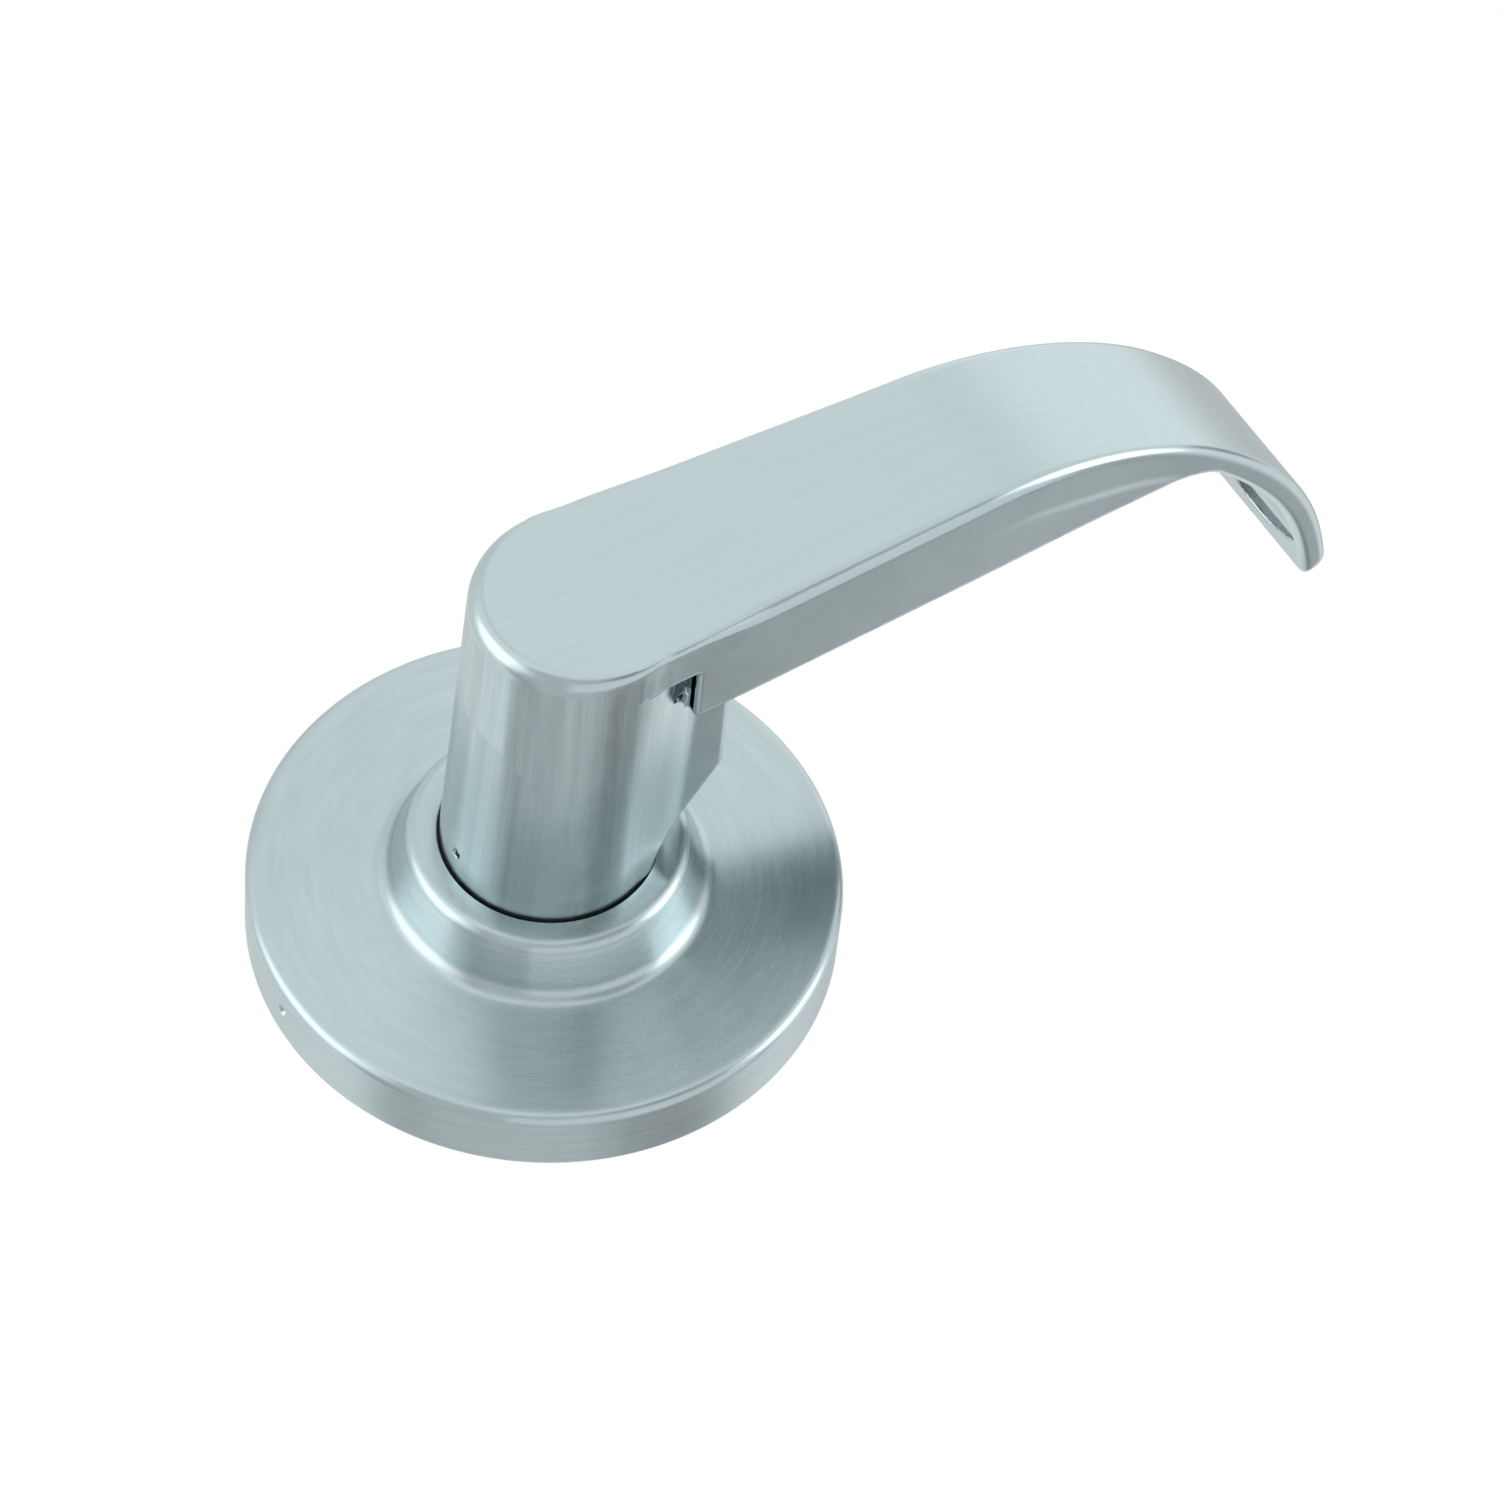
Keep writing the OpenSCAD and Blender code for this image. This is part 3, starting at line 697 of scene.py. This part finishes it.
def satin_lever():
    """Satin steel polished lengthwise: fine streaks, uneven gloss, a few hairline scratches, and
    painted shade deep in the hollows.
    """
    net = material_net("satin_lever_finish")
    grain = net.node("Attribute", attribute_name="grain").outputs["Vector"]
    brush = net.node("Attribute", attribute_name="brush").outputs["Vector"]
    settings = {"vector_type": "VECTOR", "convert_from": "OBJECT", "convert_to": "WORLD"}
    turned = net.node("VectorTransform", {"Vector": brush}, **settings).outputs["Vector"]
    fine = net.noise(net.stretch(grain, (0.12, 5.0, 5.0)), 1.0, 4.0, 0.6)
    wide = net.noise(net.stretch(grain, (0.03, 0.9, 0.9)), 1.0, 3.0, 0.5)
    cloud = net.noise(grain, 0.09, 3.0, 0.55)
    hair = net.noise(net.stretch(grain, (0.025, 2.6, 2.6)), 1.0, 1.0, 0.4)
    scratch = net.span(hair, 0.75, 0.80, 0.0, 1.0)
    gloss = net.math("ADD", net.spread(fine, 0.2, 0.25), net.spread(cloud, -0.03, 0.03))
    gloss = net.math("ADD", gloss, net.math("MULTIPLY", scratch, 0.04))
    colour = net.mix(net.spread(wide), tint(SATIN, 0.985), tint(SATIN, 1.015))
    skin = net.node("Attribute", attribute_name="cast_shade_and_lines").outputs["Vector"]
    cast_shade_and_lines = net.node("SeparateXYZ", {"Vector": skin}).outputs
    lines = net.noise(net.stretch(grain, (0.012, 0.42, 0.0)), 1.0, 4.0, 0.6)
    lines = net.span(lines, 0.36, 0.64, 0.0, 1.0)
    lined = net.mix(lines, tint(SATIN, 0.84), tint(SATIN, 1.07))
    colour = net.mix(cast_shade_and_lines["Z"], colour, lined)
    sand = net.noise(grain, 2.2, 4.0, 0.65)
    dull = net.mix(net.spread(sand), tint(RAW_CAST, 0.8), tint(RAW_CAST, 1.15))
    colour = net.mix(cast_shade_and_lines["X"], colour, dull)
    # painted shade: deeper in the hollows the colour is mixed a little towards black
    colour = net.mix(net.math("MULTIPLY", cast_shade_and_lines["Y"], 0.08), colour, (0.02, 0.022, 0.022))
    gloss = net.math("ADD", gloss, net.math("MULTIPLY", cast_shade_and_lines["X"], 0.28))
    bump = net.bump(fine, 0.14, 0.00001)
    bump = net.bump(cloud, 0.1, 0.0003, bump)
    return net.set({
        "Base Color": colour,
        "Metallic": 1.0,
        "Roughness": gloss,
        "Anisotropic": 0.5,
        "Tangent": turned,
        "Normal": bump,
    })


def ring_place(net, along):
    """Object coordinates wrapped round the hub's axis: slow along each circle, fast across it."""
    place = net.node("TexCoord").outputs["Object"]
    parts = net.node("SeparateXYZ", {"Vector": place}).outputs
    flat = net.node("CombineXYZ", {"X": parts["X"], "Y": 0.0, "Z": parts["Z"]}).outputs["Vector"]
    radius = net.node("VectorMath", {0: flat}, operation="LENGTH").outputs["Value"]
    unit = net.node("VectorMath", {0: flat}, operation="NORMALIZE").outputs["Vector"]
    axes = net.node("SeparateXYZ", {"Vector": unit}).outputs
    out = net.math("MULTIPLY", radius, PER_METRE)
    up = net.math("MULTIPLY", parts["Y"], PER_METRE)
    ring = net.node("CombineXYZ", {
        "X": net.math("MULTIPLY", axes["X"], along),
        "Y": net.math("MULTIPLY", axes["Z"], along),
        "Z": net.math("ADD", out, up),
    })
    return ring.outputs["Vector"], place


def satin_rose():
    """Satin steel brushed in circles, so that light fans out from the middle."""
    net = material_net("satin_rose_finish")
    place, plain = ring_place(net, 3.0)
    fine = net.noise(net.stretch(place, (1, 1, 6)), 1.0, 4.0, 0.6)
    broad = net.noise(net.stretch(place, (1.2, 1.2, 0.8)), 1.0, 3.0, 0.5)
    cloud = net.noise(plain, 55.0, 3.0, 0.55)
    gloss = net.math("ADD", net.spread(fine, 0.23, 0.29), net.spread(cloud, -0.03, 0.03))
    colour = net.mix(net.spread(broad), tint(SATIN, 0.95), tint(SATIN, 1.03))
    tangent = net.node("Tangent", direction_type="RADIAL", axis="Y").outputs["Tangent"]
    bump = net.bump(fine, 0.18, 0.00002)
    return net.set({
        "Base Color": colour,
        "Metallic": 1.0,
        "Roughness": gloss,
        "Anisotropic": 0.85,
        "Anisotropic Rotation": 0.25,
        "Tangent": tangent,
        "Normal": bump,
    })


def made_metal(name, colour, roughness, grain, depth, stretch, stain):
    """Metal with a fine grain in its gloss and height, and a slow change of colour."""
    net = material_net(name)
    place = net.node("TexCoord").outputs["Object"]
    fine = net.noise(net.stretch(place, stretch), grain, 5.0, 0.6)
    cloud = net.noise(place, 90.0, 3.0, 0.6)
    speck = net.noise(place, grain * 2.5, 2.0, 0.7)
    tone = net.math("ADD", net.math("MULTIPLY", cloud, 0.7), net.math("MULTIPLY", speck, 0.3))
    mixed = net.mix(net.span(tone, 0.35, 0.65, 0.0, 1.0), tint(colour, stain), tint(colour, 1.06))
    grainy = net.spread(fine, roughness - 0.06, roughness + 0.06)
    gloss = net.math("ADD", grainy, net.spread(cloud, -0.04, 0.04))
    return net.set({
        "Base Color": mixed,
        "Metallic": 1.0,
        "Roughness": gloss,
        "Normal": net.bump(fine, 0.4, depth),
    })


def nylon(name, colour):
    """Moulded plastic: soft sheen, fine grained skin, slightly uneven colour."""
    net = material_net(name)
    place = net.node("TexCoord").outputs["Object"]
    skin = net.noise(place, 2600.0, 3.0, 0.6)
    flow = net.noise(net.stretch(place, (1, 3, 1)), 70.0, 3.0, 0.55)
    mixed = net.mix(net.spread(flow), tint(colour, 0.88), tint(colour, 1.08))
    return net.set({
        "Base Color": mixed,
        "Roughness": net.spread(flow, 0.42, 0.56),
        "Normal": net.bump(skin, 0.35, 0.00003),
    })


def assign(piece, material):
    piece.data.materials.clear()
    piece.data.materials.append(material)


# ---------------------------------------------------------------- pieces
lever = build_lever()
assign(lever, satin_lever())
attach(lever, "handle")
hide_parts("lever")

rose = build_rose()
assign(rose, satin_rose())
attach(rose, "trim")
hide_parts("rose")

NYLONS = {
    "dark_nylon": (0.035, 0.036, 0.04),
    "natural_nylon": (0.74, 0.7, 0.58),
}
# colour, roughness, grain, the grain's depth in metres and its stretch, darkest share of the colour
METALS = {
    "zinc_plated_steel": ((0.62, 0.65, 0.68), 0.34, 1400.0, 0.00002, (1, 1, 1), 0.84),
    "zinc_casting": ((0.42, 0.43, 0.44), 0.5, 900.0, 0.00008, (1, 1, 1), 0.9),
    "bright_steel": ((0.66, 0.67, 0.68), 0.26, 1200.0, 0.00002, (1, 0.06, 1), 0.9),
    "hardened_steel": ((0.34, 0.34, 0.35), 0.38, 1100.0, 0.00002, (1, 1, 1), 0.8),
    "spring_steel": ((0.5, 0.51, 0.53), 0.3, 1500.0, 0.00002, (1, 1, 1), 0.9),
    "bronze": ((0.62, 0.42, 0.22), 0.36, 1100.0, 0.00002, (1, 1, 1), 0.82),
}
FINISHES = {name: nylon(name + "_finish", colour) for name, colour in NYLONS.items()}
FINISHES.update({name: made_metal(name + "_finish", *look) for name, look in METALS.items()})
FINISH_OF = {
    "collar_bushing": "dark_nylon",
    "mounting_plate": "zinc_plated_steel",
    "spring_cage": "zinc_casting",
    "cage_screws": "bright_steel",
    "driver_plate": "hardened_steel",
    "return_spring_lower_right": "spring_steel",
    "return_spring_lower_left": "spring_steel",
    "spindle": "zinc_plated_steel",
    "spindle_core": "zinc_casting",
    "core_pin": "spring_steel",
    "square_bar": "bright_steel",
    "spindle_bushing": "natural_nylon",
    "thrust_washer": "bronze",
    "wave_washer": "spring_steel",
    "retaining_ring": "hardened_steel",
    "catch_plunger": "hardened_steel",
    "catch_spring": "spring_steel",
    "mounting_posts": "zinc_plated_steel",
}
for name, finish in FINISH_OF.items():
    assign(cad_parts[name], FINISHES[finish])

posts = build_posts()
assign(posts, FINISHES["zinc_plated_steel"])
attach(posts, "trim")
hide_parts("mounting_posts")

bar = build_bar()
assign(bar, FINISHES["bright_steel"])
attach(bar, "handle")
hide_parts("square_bar")


# ---------------------------------------------------------------- floor, light and camera
FLOOR_SIZE = 1.6
FLOOR_Z = -0.95
LIGHT_COLOUR = (0.985, 1.0, 1.0, 1)
BACKDROP = (1, 1, 1, 1)

# brightness straight along the rose's axis, and how far from it the ring sets in and is full
FRONT = 0.95
RING_FROM, RING_FULL = 0.97, 0.88
# brightness round the rose's axis: degrees from the world's +x towards +z, brightness
RING = [
    (-180, 0.50), (-168, 0.50), (-156, 0.64), (-102, 0.60), (-92, 0.43), (-80, 0.30), (-58, 0.34),
    (-46, 0.44), (-36, 0.84), (-28, 0.96), (-20, 0.95), (8, 0.86), (38, 0.91), (58, 1.02), (84, 0.81),
    (130, 0.85), (172, 0.96), (180, 0.50),
]
# direction, cosine where the patch starts, cosine where it is full, brightness added
PATCHES = [
    ((0.83, -0.22, 0.50), 0.86, 0.97, 0.20),
    ((0.54, 0.68, 0.49), 0.82, 0.99, -0.30),
    ((0.74, -0.34, -0.57), 0.905, 0.945, 1.50),
    ((0.99, 0.06, 0.06), 0.975, 0.99, -0.55),
    ((-0.88, -0.34, 0.32), 0.80, 0.95, 0.88),
    ((-0.50, -0.73, 0.46), 0.80, 0.95, 0.17),
]


def build_stage():
    bpy.ops.mesh.primitive_plane_add(size=FLOOR_SIZE, location=(0, 0, FLOOR_Z))
    floor = bpy.context.object
    floor.name = "floor"
    net = material_net("floor_paint")
    place = net.node("TexCoord").outputs["Object"]
    bump = net.bump(net.noise(place, 300.0), 0.2, 0.0005)
    assign(floor, net.set({"Base Color": (0.9, 0.9, 0.9, 1), "Roughness": 0.9, "Normal": bump}))


def build_world():
    """A white backdrop for the camera; bright and dim zones all round for light and reflections."""
    net = Net(bpy.data.worlds.new("studio"))
    bpy.context.scene.world = net.owner
    way = net.node("TexCoord").outputs["Generated"]
    axes = net.node("SeparateXYZ", {"Vector": way}).outputs
    turn = net.math("DIVIDE", net.math("ARCTAN2", axes["Z"], axes["X"]), 2 * math.pi)
    wheel = net.node("ValToRGB", {"Fac": net.math("ADD", turn, 0.5)})
    stops = wheel.color_ramp.elements
    for place, (angle, bright) in enumerate(RING):
        at = angle / 360 + 0.5
        stop = stops[place] if place < 2 else stops.new(at)
        stop.position = at
        stop.color = (bright, bright, bright, 1)
    aside = net.math("ABSOLUTE", axes["Y"])
    share = net.span(aside, RING_FROM, RING_FULL, 0.0, 1.0, "SMOOTHSTEP")
    ring = net.math("SUBTRACT", wheel.outputs["Color"], FRONT)
    total = net.math("ADD", net.math("MULTIPLY", ring, share), FRONT)
    for direction, low, high, amount in PATCHES:
        centre = Vector(direction).normalized()
        dot = net.node("VectorMath", {0: way, 1: centre}, operation="DOT_PRODUCT").outputs["Value"]
        total = net.math("ADD", total, net.span(dot, low, high, 0.0, amount, "SMOOTHSTEP"))
    seen = net.node("LightPath").outputs["Is Camera Ray"]
    light = net.fill(net.tree.nodes["Background"], {"Color": LIGHT_COLOUR, "Strength": total})
    backdrop = net.node("Background", {"Color": BACKDROP})
    choose = net.node("MixShader", {"Fac": seen, 1: light.outputs[0], 2: backdrop.outputs[0]})
    net.fill(net.tree.nodes["World Output"], {"Surface": choose.outputs[0]})


# lens and sensor in millimetres, the rest in metres; the axes are the camera's own right and back
LENS = 144
SENSOR = 36
CLIP_END = 20
CAMERA_AT = (-0.2915, -0.7325, -0.4359)
CAMERA_RIGHT = (0.8497, -0.0697, -0.5226)
CAMERA_BACK = (-0.3638, -0.7949, -0.4855)


def build_camera():
    data = bpy.data.cameras.new("camera")
    camera = bpy.data.objects.new("camera", data)
    bpy.context.scene.collection.objects.link(camera)
    data.sensor_width = SENSOR
    data.lens = LENS
    data.clip_end = CLIP_END
    right = Vector(CAMERA_RIGHT).normalized()
    back = Vector(CAMERA_BACK).normalized()
    up = back.cross(right).normalized()
    right = up.cross(back).normalized()
    turn = Matrix((right, up, back)).transposed().to_4x4()
    camera.matrix_world = Matrix.Translation(CAMERA_AT) @ turn
    bpy.context.scene.camera = camera


build_stage()
build_world()
build_camera()
bpy.context.scene.view_settings.view_transform = "Standard"
